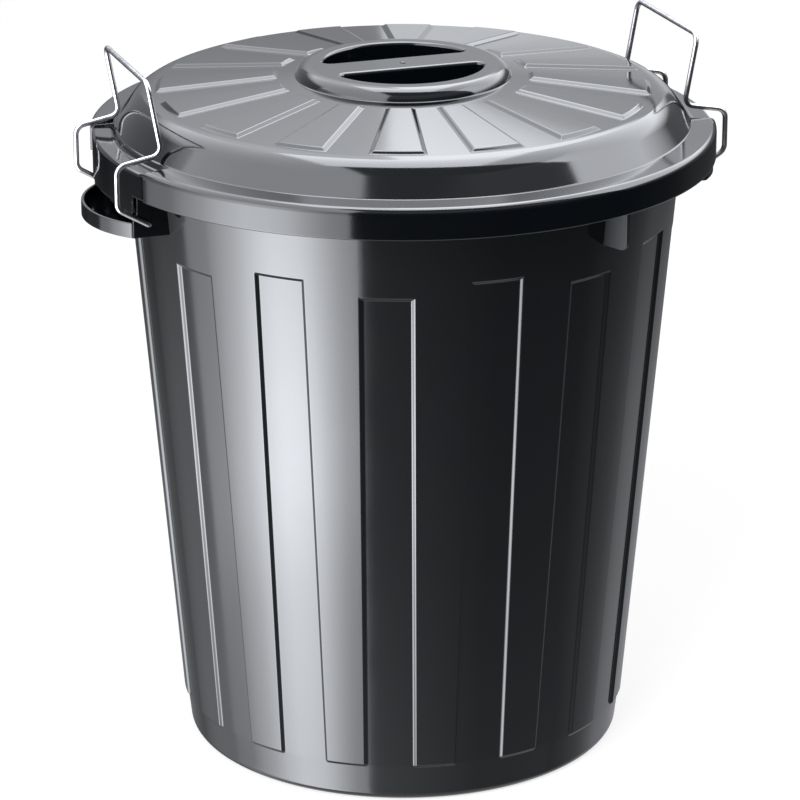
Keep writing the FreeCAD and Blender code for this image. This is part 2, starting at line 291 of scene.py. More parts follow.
link(moulded_skin, m_wave.outputs[0], m_height.inputs[1])
link(moulded_skin, m_in.outputs["Colour"], m_shade.inputs["A"])
link(moulded_skin, m_haze.outputs["Color"], m_shade.inputs["B"])
link(moulded_skin, m_shade.outputs["Result"], m_out.inputs["Colour"])
link(moulded_skin, m_rough.outputs[0], m_out.inputs["Roughness"])
link(moulded_skin, m_height.outputs[0], m_out.inputs["Height"])


def plastic(name, colour, gloss, change, wave):
    """Moulded plastic with a faint haze, hair scratches and a skin that waves a little."""
    made = bpy.data.materials.new(name)
    made.use_nodes = True
    made.diffuse_color = (*colour, 1)
    tree = made.node_tree
    shader = tree.nodes["Principled BSDF"]
    shader.inputs["IOR"].default_value = 1.5
    skin = node(tree, "ShaderNodeGroup", (-3, 0), node_tree=moulded_skin)
    skin.inputs["Gloss"].default_value = gloss
    skin.inputs["Gloss Change"].default_value = change
    skin.inputs["Colour"].default_value = (*colour, 1)
    bump = node(tree, "ShaderNodeBump", (-2, 2))
    bump.inputs["Strength"].default_value = 1.0
    bump.inputs["Distance"].default_value = wave * MM
    link(tree, skin.outputs["Colour"], shader.inputs["Base Color"])
    link(tree, skin.outputs["Roughness"], shader.inputs["Roughness"])
    link(tree, skin.outputs["Height"], bump.inputs["Height"])
    link(tree, bump.outputs[0], shader.inputs["Normal"])
    return made


tub_plastic = plastic("tub_plastic", plastic_black, 0.13, 0.03, 0.12)


def wall_radius(z):
    """Radius of the plain wall between the strips at a height."""
    return foot_radius + (mouth_radius - foot_radius) * z / tub_height


def strip_mask(turn, z):
    """How far a place on the wall is sunk, from 0 to 1: in a strip, or in the foot band below them."""
    index = math.floor(turn / strip_step + 0.5)
    top = short_strip_top if index % 2 else tall_strip_top
    side = ramp((strip_step / 4 - abs(turn - index * strip_step)) / edge_turn + 0.5)
    end = ramp((top - z) / strip_edge + 0.5)
    foot = ramp((strip_bottom - z) / strip_edge + 0.5)
    sunk = min(math.hypot(min(side, end), foot), 1.0)
    toe = min(max((strip_bottom - z) / (strip_bottom - foot_round), 0.0), 1.0)
    return sunk * strip_share + toe * (1 - strip_share)


def strip_turn(turn, z):
    """Angle at a height of a column that follows the strips, which have one width from top to bottom."""
    middle = math.floor(turn / strip_step + 0.5) * strip_step
    local = abs(turn - middle)
    half = math.degrees(strip_half_width / wall_radius(z))
    if local < strip_step / 4:
        local *= half / (strip_step / 4)
    else:
        local = strip_step / 2 - (strip_step / 2 - local) * (strip_step / 2 - half) / (strip_step / 4)
    return middle + math.copysign(local, turn - middle)


def wall_point(turn, z, depth):
    """Point of the wall at a column and a height, a depth inside its outer skin."""
    radius = wall_radius(z) - strip_depth * strip_mask(turn, z) - depth
    place = math.radians(strip_turn(turn, z))
    return (radius * math.cos(place), radius * math.sin(place), z)


def disc_point(turn, radius, z):
    """Point at an angle, a radius and a height."""
    return (radius * math.cos(math.radians(turn)), radius * math.sin(math.radians(turn)), z)


wall_turns = [-strip_step / 2]
for edge in (-0.25, 0.25, 0.75, 1.25):
    edge_places = across(edge * strip_step, edge_turn, 0.12)
    wall_turns += between(wall_turns[-1], edge_places[0], 3 if edge == -0.25 else 7) + edge_places
wall_turns += between(wall_turns[-1], strip_step * 1.5, 3) + [strip_step * 1.5]
foot_corner = foot_radius - strip_depth
wall_heights = []
last_height = foot_round + 1.0
for height, count in ((strip_bottom, 3), (short_strip_top, 14), (tall_strip_top, 2)):
    wall_heights += between(last_height, height - edge_reach, count) + across(height, strip_edge)
    last_height = height + edge_reach
wall_heights += between(last_height, wall_top, 6) + [wall_top]
foot_lean = wall_radius(foot_round) - foot_radius
foot_line = rounded_line([(0, 0, 0), (foot_corner, 0, foot_round),
                          (foot_corner + foot_lean * foot_overrun, foot_round * foot_overrun, 0)])[1:-1]
inner_corner = foot_corner - tub_thickness
inner_line = rounded_line([(0, tub_thickness, 0), (inner_corner, tub_thickness, foot_round / 2),
                           (inner_corner + foot_lean, foot_round + tub_thickness, 0)])[1:-1]
disc_shares = (0, 0.3, 0.65)
wall_rows = [[disc_point(turn, foot_corner * share, 0) for turn in wall_turns] for share in disc_shares]
wall_rows += [[disc_point(turn, point.x, point.y) for turn in wall_turns] for point in foot_line]
wall_rows += [[wall_point(turn, z, 0) for turn in wall_turns] for z in wall_heights]
wall_rows += [[wall_point(turn, z, tub_thickness) for turn in wall_turns] for z in reversed(wall_heights)]
wall_rows += [[disc_point(turn, point.x, point.y) for turn in wall_turns] for point in reversed(inner_line)]
wall_rows += [[disc_point(turn, foot_corner * share, tub_thickness) for turn in wall_turns]
              for share in reversed(disc_shares)]
tub_wall = piece("tub_wall", sheet(wall_rows, False), tub_plastic)
repeated(tub_wall, strip_count // 2, tub_plastic)
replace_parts(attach(tub_wall, "tub"), "tub")

# Tub rim: the turned-out top of the same moulding, with a lip hanging from its edge. It carries the lid,
# and is stepped down at both ends where the lid is sunk under the clips.
rim_inner = 211.5
rim_outer = 235.0
rim_thickness = 3.0
rim_lip = 9.0
rim_lip_thickness = 2.4
rim_round = 0.6
rim_foot = 2.0
rim_margin = 1.2
rim_support = 0.3
inner_corner_rows = 7
step_drop = 3.1
step_half_width = 77.8
step_inner = 217.7
step_edge = 1.2
step_margin = 1.5


def stepped(turn, radius, z, share):
    """Rim point, lowered by a share of the step where it lies in a step."""
    x, y, z = disc_point(turn, radius, z)
    inside = ramp((step_half_width - abs(y)) / step_edge + 0.5)
    inside *= ramp((radius - step_inner) / step_edge + 0.5)
    return (x, y, z - step_drop * share * inside)


step_turn = math.degrees(math.asin(step_half_width / rim_outer))
side_start = step_turn - 1.0
side_stop = step_turn + 2.6
rim_half = between(-side_start, side_start, 14) + between(side_start, side_stop, 48)
rim_half += between(side_stop, 180 - side_stop, 90) + between(180 - side_stop, 180 - side_start, 48)
rim_turns = rim_half + [turn + 180 for turn in rim_half]
rim_low = tub_height - rim_thickness
lip_low = rim_low - rim_lip
lip_inner = rim_outer - rim_lip_thickness
rim_line = rounded_line([(rim_inner, rim_low - rim_foot, 0), (rim_inner, tub_height, rim_round),
                         (rim_outer, tub_height, rim_round), (rim_outer, lip_low, rim_round),
                         (lip_inner, lip_low, rim_round), (lip_inner, rim_low, rim_round),
                         (rim_inner + rim_round, rim_low, 0)], 4, rim_support)
top_places = [rim_inner + rim_margin] + across(step_inner, step_edge, rim_support)
top_places += between(step_inner + step_margin, rim_outer - step_margin, 3)
rim_line[inner_corner_rows:inner_corner_rows] = [Vector((place, tub_height)) for place in top_places]
rim_shares = [0 if point.y < lip_low + step_margin else 1 for point in rim_line]
rim_rows = [[stepped(turn, point.x, point.y, share) for turn in rim_turns]
            for point, share in zip(rim_line, rim_shares)]
rim_rows.append(rim_rows[0])
tub_rim = piece("tub_rim", sheet(rim_rows, True), tub_plastic)
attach(tub_rim, "tub")

# Lugs: at each end a pair of plates stands out of the wall under the rim, drilled for the tips of the clip's
# wire, and a flat band with a floor bows out between them as a carrying loop. Moulded with the tub.
lug_half_width = 55.3
lug_thickness = 3.0
lug_bottom = 438.5
lug_plate_reach = 230.6
lug_neck_reach = 227.6
lug_neck = 453.8
lug_neck_slope = 3.0
lug_top = 488.0
lug_root = 199.0
lug_top_root = 207.0
plate_ease = 0.5
loop_reach = 253.3
loop_height = 11.8
loop_round = 0.7
loop_foot_round = 1.2
loop_inset = 0.1
floor_end = 6.0
floor_root = 202.0
pivot_x = 218.512
pivot_z = 448.5
pivot_hole = 2.06
hole_sides = 24
loop_bow = loop_reach - lug_plate_reach
loop_arc = (lug_half_width ** 2 + loop_bow ** 2) / (2 * loop_bow)
loop_turn = math.asin((lug_half_width - loop_inset) / loop_arc)
loop_turns = [loop_turn] + between(loop_turn, -loop_turn, 35) + [-loop_turn]


def loop_row(inset, height):
    """Row of points along the loop's arc, at an inset from its outer face and a height over its foot."""
    return [(loop_reach - loop_arc + (loop_arc - inset) * math.cos(turn), (loop_arc - inset) * math.sin(turn),
             lug_bottom + height) for turn in loop_turns]


band_inner = lug_thickness - loop_inset
band_line = rounded_line([(floor_end, 0, 0), (loop_inset, 0, loop_round),
                          (loop_inset, loop_height, loop_round), (band_inner, loop_height, loop_round),
                          (band_inner, lug_thickness, loop_foot_round), (floor_end, lug_thickness, 0)],
                         4, 0.3)
band_rows = [loop_row(point.x, point.y) for point in band_line]
floor_low, floor_high = [[(floor_root, y, z) for x, y, z in row] for row in (band_rows[0], band_rows[-1])]
loop_shape = sheet([floor_low] + band_rows + [floor_high, floor_low], False)
bmesh.ops.holes_fill(loop_shape, edges=[edge for edge in loop_shape.edges if edge.is_boundary], sides=0)
carrying_loops = piece("carrying_loops", loop_shape, tub_plastic)
repeated(carrying_loops, 2, tub_plastic)
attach(carrying_loops, "tub")


def plate(outline, hole, thickness):
    """Flat plate from an (x, z) outline with an optional round hole, standing across Y from zero."""
    shape = bmesh.new()
    loops = [outline]
    if hole:
        x, z, radius = hole
        turns = [2 * math.pi * step / hole_sides for step in range(hole_sides)]
        loops.append([(x + radius * math.cos(turn), z + radius * math.sin(turn)) for turn in turns])
    edges = []
    for loop in loops:
        corners = [shape.verts.new(Vector((x, 0, z)) * MM) for x, z in loop]
        edges += [shape.edges.new(pair) for pair in zip(corners, corners[1:] + corners[:1])]
    bmesh.ops.triangle_fill(shape, use_beauty=True, edges=edges, normal=(0, -1, 0))
    grown = bmesh.ops.extrude_face_region(shape, geom=list(shape.faces))
    moved = [item for item in grown["geom"] if isinstance(item, bmesh.types.BMVert)]
    bmesh.ops.translate(shape, verts=moved, vec=(0, thickness * MM, 0))
    return shape


def eased(made, width):
    """Rounds an object's sharp edges a little and keeps its flats flat."""
    bevel = made.modifiers.new("ease", "BEVEL")
    bevel.width = width * MM
    bevel.segments = 3
    bevel.limit_method = "ANGLE"
    bevel.angle_limit = math.radians(40)
    weighted = made.modifiers.new("flats", "WEIGHTED_NORMAL")
    weighted.keep_sharp = True
    weighted.weight = 100
    return made


plate_line = [(lug_root, lug_bottom), (lug_plate_reach, lug_bottom), (lug_plate_reach, lug_neck),
              (lug_neck_reach, lug_neck + lug_neck_slope), (lug_neck_reach, lug_top),
              (lug_top_root, lug_top)]
lug_shape = plate(plate_line, (pivot_x, pivot_z, pivot_hole), lug_thickness)
twin = bmesh.ops.duplicate(lug_shape, geom=lug_shape.verts[:] + lug_shape.edges[:] + lug_shape.faces[:])
first_plate = [vert for vert in lug_shape.verts if vert not in set(twin["geom"])]
bmesh.ops.translate(lug_shape, verts=[item for item in twin["geom"] if isinstance(item, bmesh.types.BMVert)],
                    vec=(0, (lug_half_width - lug_thickness) * MM, 0))
bmesh.ops.translate(lug_shape, verts=first_plate, vec=(0, -lug_half_width * MM, 0))
lug_plates = piece("lug_plates", lug_shape, tub_plastic)
repeated(lug_plates, 2, tub_plastic)
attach(eased(lug_plates, plate_ease), "tub")

# Gussets: two upright plates between the wall and the rim that brace the rim, each with a round lower
# corner. They are moulded with the tub, and their sides are satin, not polished.
gusset_turn = -64.5
gusset_bottom = 440.5
gusset_root = 205.0
gusset_reach = 233.0
gusset_thickness = 3.0
gusset_corner = 6.0
gusset_line = rounded_line([(gusset_root, rim_low, 0), (gusset_root, gusset_bottom, 0),
                            (gusset_reach, gusset_bottom, gusset_corner),
                            (gusset_reach, rim_low, 0)], 8, 0.3)
gusset_shape = plate([(point.x, point.y) for point in gusset_line], None, gusset_thickness)
bmesh.ops.translate(gusset_shape, verts=gusset_shape.verts, vec=(0, -gusset_thickness / 2 * MM, 0))
bmesh.ops.rotate(gusset_shape, verts=gusset_shape.verts, cent=(0, 0, 0),
                 matrix=Matrix.Rotation(math.radians(gusset_turn), 3, "Z"))
gusset_plastic = plastic("gusset_plastic", plastic_black, 0.5, 0.03, 0.12)
gussets = piece("gussets", gusset_shape, gusset_plastic)
repeated(gussets, 2, gusset_plastic)
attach(eased(gussets, plate_ease), "tub")

# Lid: a second moulding of the same black plastic, with a skirt over the tub's rim, a flange that falls a
# little outward, a domed crown and a low round grip with two finger pockets. It is sunk under each clip,
# where a tab of the skirt hangs down between the lug's plates.
lid_radius = 239.9
lid_thickness = 2.6
flange_z = 496.0
flange_edge_z = 494.4
skirt_z = 471.6
hem_step = 3.0
hem_ease = 0.8
rim_edge_round = 5.0
dome_foot = 220.0
dome_foot_round = 2.0
skirt_start = dome_foot + 5
dome_shoulder = 202.6
dome_shoulder_round = 24.0
shoulder_z = 519.0
crown_z = 530.1
grip_radius = 82.5
grip_lean = 3.2
grip_z = 539.3
grip_top_round = 10.8
grip_foot_round = 1.4
seat_half_width = 74.0
seat_inner = 221.5
seat_z = 491.3
seat_radius = 238.0
seat_edge_round = 3.0
seat_side = 1.6
seat_clear = 0.8
seat_wall = ((-0.6, 0.02), (-0.3, 0.16), (0, 0.5), (0.3, 0.84), (0.6, 0.98))
straight_start = 195.0
straight_reach = 18.0
straight_turn = math.radians(30)
straight_fade = math.radians(12)
tab_half_width = 55.5
tab_z = 458.0
pocket_radius = 61.5
pocket_z = 509.3
pocket_corner = 6.0
pocket_edge_round = 2.5
pocket_foot_round = 3.0
pocket_support = 0.4
bar_half_width = 16.0
lid_plastic = plastic("lid_plastic", plastic_black, 0.095, 0.03, 0.10)
lid_line = rounded_line([(pocket_radius + 2 * pocket_edge_round, grip_z, 0),
                         (grip_radius - grip_lean, grip_z, grip_top_round),
                         (grip_radius, crown_z, grip_foot_round),
                         (dome_shoulder, shoulder_z, dome_shoulder_round),
                         (dome_foot, flange_z, dome_foot_round), (lid_radius, flange_edge_z, 0)], 10)
crown_line = [point for point in lid_line if point.x < seat_inner - seat_clear]


def flange_height(radius):
    """Height of the flange, or of the round where the dome meets it."""
    for near, far in zip(lid_line, lid_line[1:]):
        if near.x <= radius <= far.x and far.y < near.y:
            return near.y + (far.y - near.y) * (radius - near.x) / (far.x - near.x)


def skirt_line(start_z, radius, top, corner, hem):
    """Line from the flange over its edge and down to a hem, with the same rows for every skirt."""
    line = rounded_line([(skirt_start, start_z, 0), (radius, top, corner),
                         (radius, skirt_z + 2 * hem_step, 0)])
    return line + [Vector((radius, z)) for z in (skirt_z + hem_step, hem + hem_ease, hem)]


edge_line = skirt_line(flange_height(skirt_start), lid_radius, flange_edge_z, rim_edge_round, skirt_z)
seat_line = skirt_line(seat_z, seat_radius, seat_z, seat_edge_round, skirt_z)
tab_line = skirt_line(seat_z, seat_radius, seat_z, seat_edge_round, tab_z)
lid_lines = [(point, point, point) for point in crown_line]
for offset, fall in seat_wall:
    place = seat_inner + offset
    high = flange_height(place)
    sunk = Vector((place, high + (seat_z - high) * fall))
    lid_lines.append((Vector((place, high)), sunk, sunk))
lid_lines += list(zip(edge_line, seat_line, tab_line))


def lid_point(turn, outer, sunk, tab):
    """Lid point at a column, on the outer line, the seat's line or the tab's, by its place across them."""
    end = math.floor(turn / 180 + 0.5) * 180
    local = math.radians(turn - end)
    side_y = lid_radius * math.sin(local)
    inside = ramp((seat_half_width - abs(side_y)) / seat_side + 0.5)
    place = tab if abs(side_y) < tab_half_width else outer.lerp(sunk, inside)
    straight = math.asin(max(-1, min(1, side_y / place.x))) if place.x > straight_start else local
    share = ramp((place.x - straight_start) / straight_reach)
    share *= ramp((straight_turn - abs(local)) / straight_fade)
    spread = local + (straight - local) * share
    return disc_point(math.degrees(spread) + end, place.x, place.y)


seat_places = across(seat_half_width, seat_side, 0.3)
seat_turns = [math.degrees(math.asin(y / lid_radius)) for y in seat_places]
tab_places = [tab_half_width + step for step in (-0.6, -0.05, 0.05, 0.6)]
tab_turns = [math.degrees(math.asin(y / lid_radius)) for y in tab_places]
lid_half = between(-seat_turns[0], -tab_turns[-1], 4) + [-turn for turn in reversed(tab_turns)]
lid_half += between(-tab_turns[0], tab_turns[0], 17) + tab_turns
lid_half += between(tab_turns[-1], seat_turns[0], 4) + seat_turns
lid_half += between(seat_turns[-1], 180 - seat_turns[-1], 111)
lid_half += [180 - turn for turn in reversed(seat_turns)]
lid_turns = lid_half + [turn + 180 for turn in lid_half]
lid_rows = [[lid_point(turn, *lines) for turn in lid_turns] for lines in lid_lines]
lid_shape = sheet(lid_rows, True)


def pocket_loop(grown, z):
    """Outline of one finger pocket at a height, grown by an offset: a straight bar side and a wide arc."""
    corner_y = bar_half_width + pocket_corner
    corner_x = math.sqrt((pocket_radius - pocket_corner) ** 2 - corner_y ** 2)
    lean = math.atan2(corner_y, corner_x)
    corner = pocket_corner + grown
    points = [(x, bar_half_width - grown) for x in between(-corner_x, corner_x, 20)]
    turns = [-math.pi / 2 + (lean + math.pi / 2) * step / 10 for step in range(11)]
    bend = [(corner_x + corner * math.cos(turn), corner_y + corner * math.sin(turn)) for turn in turns]
    points += bend
    points += [((pocket_radius + grown) * math.cos(turn), (pocket_radius + grown) * math.sin(turn))
               for turn in between(lean, math.pi - lean, 40)]
    points += [(-x, y) for x, y in reversed(bend)]
    return [(x, y, z) for x, y in points]


def pocket_rows():
    """Rows of one pocket's lip, wall, foot round and floor edge, from the top face down."""
    rows = [pocket_loop(pocket_edge_round + step * pocket_support, grip_z) for step in (2, 1)]
    for step in range(9):
        turn = math.pi / 2 * step / 8
        rows.append(pocket_loop(pocket_edge_round * (1 - math.sin(turn)),
                                grip_z - pocket_edge_round * (1 - math.cos(turn))))
    rows.append(pocket_loop(0, grip_z - pocket_edge_round - pocket_support))
    rows.append(pocket_loop(0, pocket_z + pocket_foot_round + pocket_support))
    for step in range(7):
        turn = math.pi / 2 * step / 6
        rows.append(pocket_loop(-pocket_foot_round * (1 - math.cos(turn)),
                                pocket_z + pocket_foot_round * (1 - math.sin(turn))))
    rows.append(pocket_loop(-pocket_foot_round - pocket_support, pocket_z))
    return rows


for flip in (1, -1):
    rings = []
    for row in pocket_rows():
        rings.append([lid_shape.verts.new(Vector((x * flip, y * flip, z)) * MM) for x, y, z in row])
    for upper, lower in zip(rings, rings[1:]):
        for quad in zip(upper, upper[1:] + upper[:1], lower[1:] + lower[:1], lower):
            lid_shape.faces.new(quad)
    lid_shape.faces.new(rings[-1])
top_edges = [edge for edge in lid_shape.edges if edge.is_boundary
             and min(vert.co.z for vert in edge.verts) > (grip_z - 0.01) * MM]
bmesh.ops.triangle_fill(lid_shape, use_beauty=True, edges=top_edges, normal=(0, 0, 1))
lid = piece("lid", lid_shape, lid_plastic)
if lid.data.polygons[0].normal.z < 0:
    lid.data.flip_normals()
lid_wall = lid.modifiers.new("wall", "SOLIDIFY")
lid_wall.thickness = lid_thickness * MM
lid_wall.offset = -1
plain(lid)
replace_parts(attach(lid, "lid"), "lid")

# Crown panels: sixteen raised trapezoids with sloping edges, moulded into the crown round the grip to
# stiffen it. They stand a little turned against the line through the clips.
panel_count = 16
panel_turn = 2.1
panel_half_turn = 6.525
panel_inner = 96.0
panel_outer = 189.4
panel_height = 2.2
panel_edge = 4.0
panel_support = 0.3
panel_sink = 1.0


def crown_height(radius):
    """Height of the plain crown at a radius."""
    return crown_z + (shoulder_z - crown_z) * (radius - grip_radius) / (dome_shoulder - grip_radius)


panel_radii = across(panel_inner + panel_edge / 2, panel_edge, panel_support)[1:]
panel_radii += between(panel_radii[-1], panel_outer - panel_edge - panel_support, 6)
panel_radii += across(panel_outer - panel_edge / 2, panel_edge, panel_support)[:-1]
side_places = across(panel_edge / 2, panel_edge, panel_support)[1:]
panel_rows = []
for radius in panel_radii:
    half = math.radians(panel_half_turn) * radius
    sides = [-half + place for place in side_places]
    sides += between(sides[-1], -sides[-1], 6) + [half - place for place in reversed(side_places)]
    along = ramp(min(radius - panel_inner, panel_outer - radius) / panel_edge)
    row = []
    for side in sides:
        rise = min(along, ramp((half - abs(side)) / panel_edge)) * panel_height
        row.append(disc_point(panel_turn + math.degrees(side / radius), radius, crown_height(radius) + rise))
    panel_rows.append(row)
crown_panels = piece("crown_panels", sheet(panel_rows, False), lid_plastic)
if crown_panels.data.polygons[0].normal.z < 0:
    crown_panels.data.flip_normals()
panel_body = crown_panels.modifiers.new("body", "SOLIDIFY")
panel_body.thickness = panel_sink * MM
panel_body.offset = -1
repeated(crown_panels, panel_count, lid_plastic)
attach(crown_panels, "lid")

# Gate mark: the small round scar in the middle of the grip's bar where the plastic ran into the mould. It is
# a low stud of the lid's own plastic with a dimple in its top.
gate_radius = 2.6
gate_height = 0.5
gate_sink = 0.6
gate_sides = 24
dimple_radius = 1.17
dimple_floor_radius = 0.78
dimple_height = 0.2
gate_line = rounded_line([(0, -gate_sink, 0), (gate_radius, -gate_sink, 0), (gate_radius, gate_height, 0.4),
                          (dimple_radius, gate_height, 0.3), (dimple_floor_radius, dimple_height, 0.2),
                          (0, dimple_height, 0)], 4, 0.05)
gate_turns = [360 * step / gate_sides for step in range(gate_sides)]
gate_rows = [[disc_point(turn, point.x, grip_z + point.y) for turn in gate_turns] for point in gate_line]
gate_mark = piece("gate_mark", sheet(gate_rows, True), lid_plastic)
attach(gate_mark, "lid")

# Clips: each is one length of round steel wire, drawn bright and bent cold. Its tips turn in the lug's
# holes, its legs pass outside the lid's rim, its runs rise over the lid's seat, and its handle stands up
# by the dome.
wire_radius = 2.0
clip_half_width = 58.8
clip_tip = 49.0
tip_bend = 3.0
wire_bend = 8.0
clip_side = [(pivot_x, pivot_z), (243.2, 463.0), (243.2, 495.5), (208.497, 502.0), (218.197, 556.6)]
bent_wire = bpy.data.node_groups.new("bent_wire", "GeometryNodeTree")
bent_wire.interface.new_socket("Path", in_out="INPUT", socket_type="NodeSocketGeometry")
wire_size = bent_wire.interface.new_socket("Wire Radius", in_out="INPUT", socket_type="NodeSocketFloat")
wire_finish = bent_wire.interface.new_socket("Finish", in_out="INPUT", socket_type="NodeSocketMaterial")
bent_wire.interface.new_socket("Wire", in_out="OUTPUT", socket_type="NodeSocketGeometry")
w_in = node(bent_wire, "NodeGroupInput", (0, 0))
w_bend = node(bent_wire, "GeometryNodeFilletCurve", (1, 0), mode="POLY")
w_bend.inputs["Count"].default_value = 12
w_radius = node(bent_wire, "GeometryNodeInputRadius", (0, 1))
w_unit = node(bent_wire, "GeometryNodeSetCurveRadius", (2, 0))
w_unit.inputs["Radius"].default_value = 1.0
w_spline = node(bent_wire, "GeometryNodeSplineParameter", (2, 1))
w_along = node(bent_wire, "GeometryNodeStoreNamedAttribute", (3, 0), data_type="FLOAT", domain="POINT")
w_along.inputs["Name"].default_value = "along"
w_circle = node(bent_wire, "GeometryNodeCurvePrimitiveCircle", (2, 2))
w_circle.inputs["Resolution"].default_value = 24
w_round = node(bent_wire, "GeometryNodeStoreNamedAttribute", (3, 2), data_type="FLOAT", domain="POINT")
w_round.inputs["Name"].default_value = "round"
w_spline_round = node(bent_wire, "GeometryNodeSplineParameter", (2, 3))
w_tube = node(bent_wire, "GeometryNodeCurveToMesh", (4, 0))
w_tube.inputs["Fill Caps"].default_value = True
w_smooth = node(bent_wire, "GeometryNodeSetShadeSmooth", (5, 0))
w_real = node(bent_wire, "GeometryNodeRealizeInstances", (6, 0))
w_finish = node(bent_wire, "GeometryNodeSetMaterial", (7, 0))
w_out = node(bent_wire, "NodeGroupOutput", (8, 0))
link(bent_wire, w_in.outputs["Path"], w_bend.inputs["Curve"])
link(bent_wire, w_radius.outputs[0], w_bend.inputs["Radius"])
link(bent_wire, w_bend.outputs[0], w_unit.inputs["Curve"])
link(bent_wire, w_unit.outputs[0], w_along.inputs["Geometry"])
link(bent_wire, w_spline.outputs["Length"], w_along.inputs["Value"])
link(bent_wire, w_in.outputs["Wire Radius"], w_circle.inputs["Radius"])
link(bent_wire, w_circle.outputs[0], w_round.inputs["Geometry"])
link(bent_wire, w_spline_round.outputs["Factor"], w_round.inputs["Value"])
link(bent_wire, w_along.outputs[0], w_tube.inputs["Curve"])
link(bent_wire, w_round.outputs[0], w_tube.inputs["Profile Curve"])
link(bent_wire, w_tube.outputs[0], w_smooth.inputs[0])
link(bent_wire, w_smooth.outputs[0], w_real.inputs[0])
link(bent_wire, w_real.outputs[0], w_finish.inputs["Geometry"])
link(bent_wire, w_in.outputs["Finish"], w_finish.inputs["Material"])
link(bent_wire, w_finish.outputs[0], w_out.inputs["Wire"])

wire_steel = bpy.data.materials.new("wire_steel")
wire_steel.use_nodes = True
wire_steel.diffuse_color = (0.66, 0.66, 0.67, 1)
steel = wire_steel.node_tree
steel_shader = steel.nodes["Principled BSDF"]
steel_shader.inputs["Metallic"].default_value = 1.0
steel_shader.inputs["Specular Tint"].default_value = (0.5, 0.5, 0.52, 1)
s_along = node(steel, "ShaderNodeAttribute", (-7, 0), attribute_name="along")
s_round = node(steel, "ShaderNodeAttribute", (-7, 1), attribute_name="round")
s_place = node(steel, "ShaderNodeCombineXYZ", (-6, 0))
s_scale = node(steel, "ShaderNodeMapping", (-5, 0))
s_scale.inputs["Scale"].default_value = (60.0, 40.0, 1.0)
s_lines = node(steel, "ShaderNodeTexNoise", (-4, 0))
s_lines.inputs["Scale"].default_value = 1.0
s_lines.inputs["Detail"].default_value = 4.0
s_spot_place = node(steel, "ShaderNodeTexCoord", (-7, 2))
s_spots = node(steel, "ShaderNodeTexNoise", (-4, 2))
s_spots.inputs["Scale"].default_value = 140.0
s_spots.inputs["Detail"].default_value = 4.0
s_colour = node(steel, "ShaderNodeValToRGB", (-3, 2))
s_colour.color_ramp.elements[0].position = 0.3
s_colour.color_ramp.elements[0].color = (0.38, 0.38, 0.39, 1)
s_colour.color_ramp.elements[1].position = 0.6
s_colour.color_ramp.elements[1].color = (0.54, 0.54, 0.55, 1)
s_rough = node(steel, "ShaderNodeMapRange", (-2, 1))
s_rough.inputs["To Min"].default_value = 0.22
s_rough.inputs["To Max"].default_value = 0.36
s_bump = node(steel, "ShaderNodeBump", (-2, 3))
s_bump.inputs["Strength"].default_value = 0.35
s_bump.inputs["Distance"].default_value = 0.03 * MM
link(steel, s_along.outputs["Fac"], s_place.inputs["X"])
link(steel, s_round.outputs["Fac"], s_place.inputs["Y"])
link(steel, s_place.outputs[0], s_scale.inputs["Vector"])
link(steel, s_scale.outputs[0], s_lines.inputs["Vector"])
link(steel, s_spot_place.outputs["Object"], s_spots.inputs["Vector"])
link(steel, s_spots.outputs[0], s_colour.inputs["Fac"])
link(steel, s_colour.outputs[0], steel_shader.inputs["Base Color"])
link(steel, s_lines.outputs[0], s_rough.inputs["Value"])
link(steel, s_rough.outputs[0], steel_shader.inputs["Roughness"])
link(steel, s_lines.outputs[0], s_bump.inputs["Height"])
link(steel, s_bump.outputs[0], steel_shader.inputs["Normal"])


def clip(name, flip):
    """Wire clip at one end, bent from its corner points, each with its own bend radius."""
    half = [(pivot_x, clip_tip, pivot_z)] + [(x, clip_half_width, z) for x, z in clip_side]
    points = half + [(x, -y, z) for x, y, z in reversed(half)]
    bends = [tip_bend, tip_bend] + [wire_bend] * (len(clip_side) - 1)
    path = bpy.data.curves.new(name + "_path", "CURVE")
    path.dimensions = "3D"
    spline = path.splines.new("POLY")
    spline.points.add(len(points) - 1)
    for target, (x, y, z), bend in zip(spline.points, points, bends + bends[::-1]):
        target.co = (x * flip * MM, y * flip * MM, z * MM, 1)
        target.radius = bend * MM
    line = placed(name + "_path", path)
    modifier = line.modifiers.new("wire", "NODES")
    modifier.node_group = bent_wire
    modifier[wire_size.identifier] = wire_radius * MM
    modifier[wire_finish.identifier] = wire_steel
    mesh = finished_mesh(line)
    bpy.data.objects.remove(line)
    return placed(name, mesh)


right_wire = clip("right_wire", 1)
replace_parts(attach(right_wire, "right_clip"), "right_clip")
left_wire = clip("left_wire", -1)
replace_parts(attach(left_wire, "left_clip"), "left_clip")

# Camera: a long lens some three metres from the bin and a little above its lid, with the right clip to the
# right and a little behind.
camera_turn = math.radians(-19.3)
camera_height = math.radians(19.75)
camera_distance = 2.99594
aim = Vector((0, 0, 0.2658))
level = math.cos(camera_height)
away = Vector((math.sin(camera_turn) * level, -math.cos(camera_turn) * level, math.sin(camera_height)))
camera_data = bpy.data.cameras.new("camera")
camera_data.sensor_width = 36.0
camera_data.lens = 171.366
camera_data.shift_x = -0.0039
camera = placed("camera", camera_data)
camera.location = aim + away * camera_distance
camera.rotation_euler = (-away).to_track_quat("-Z", "Y").to_euler()
bpy.context.scene.camera = camera

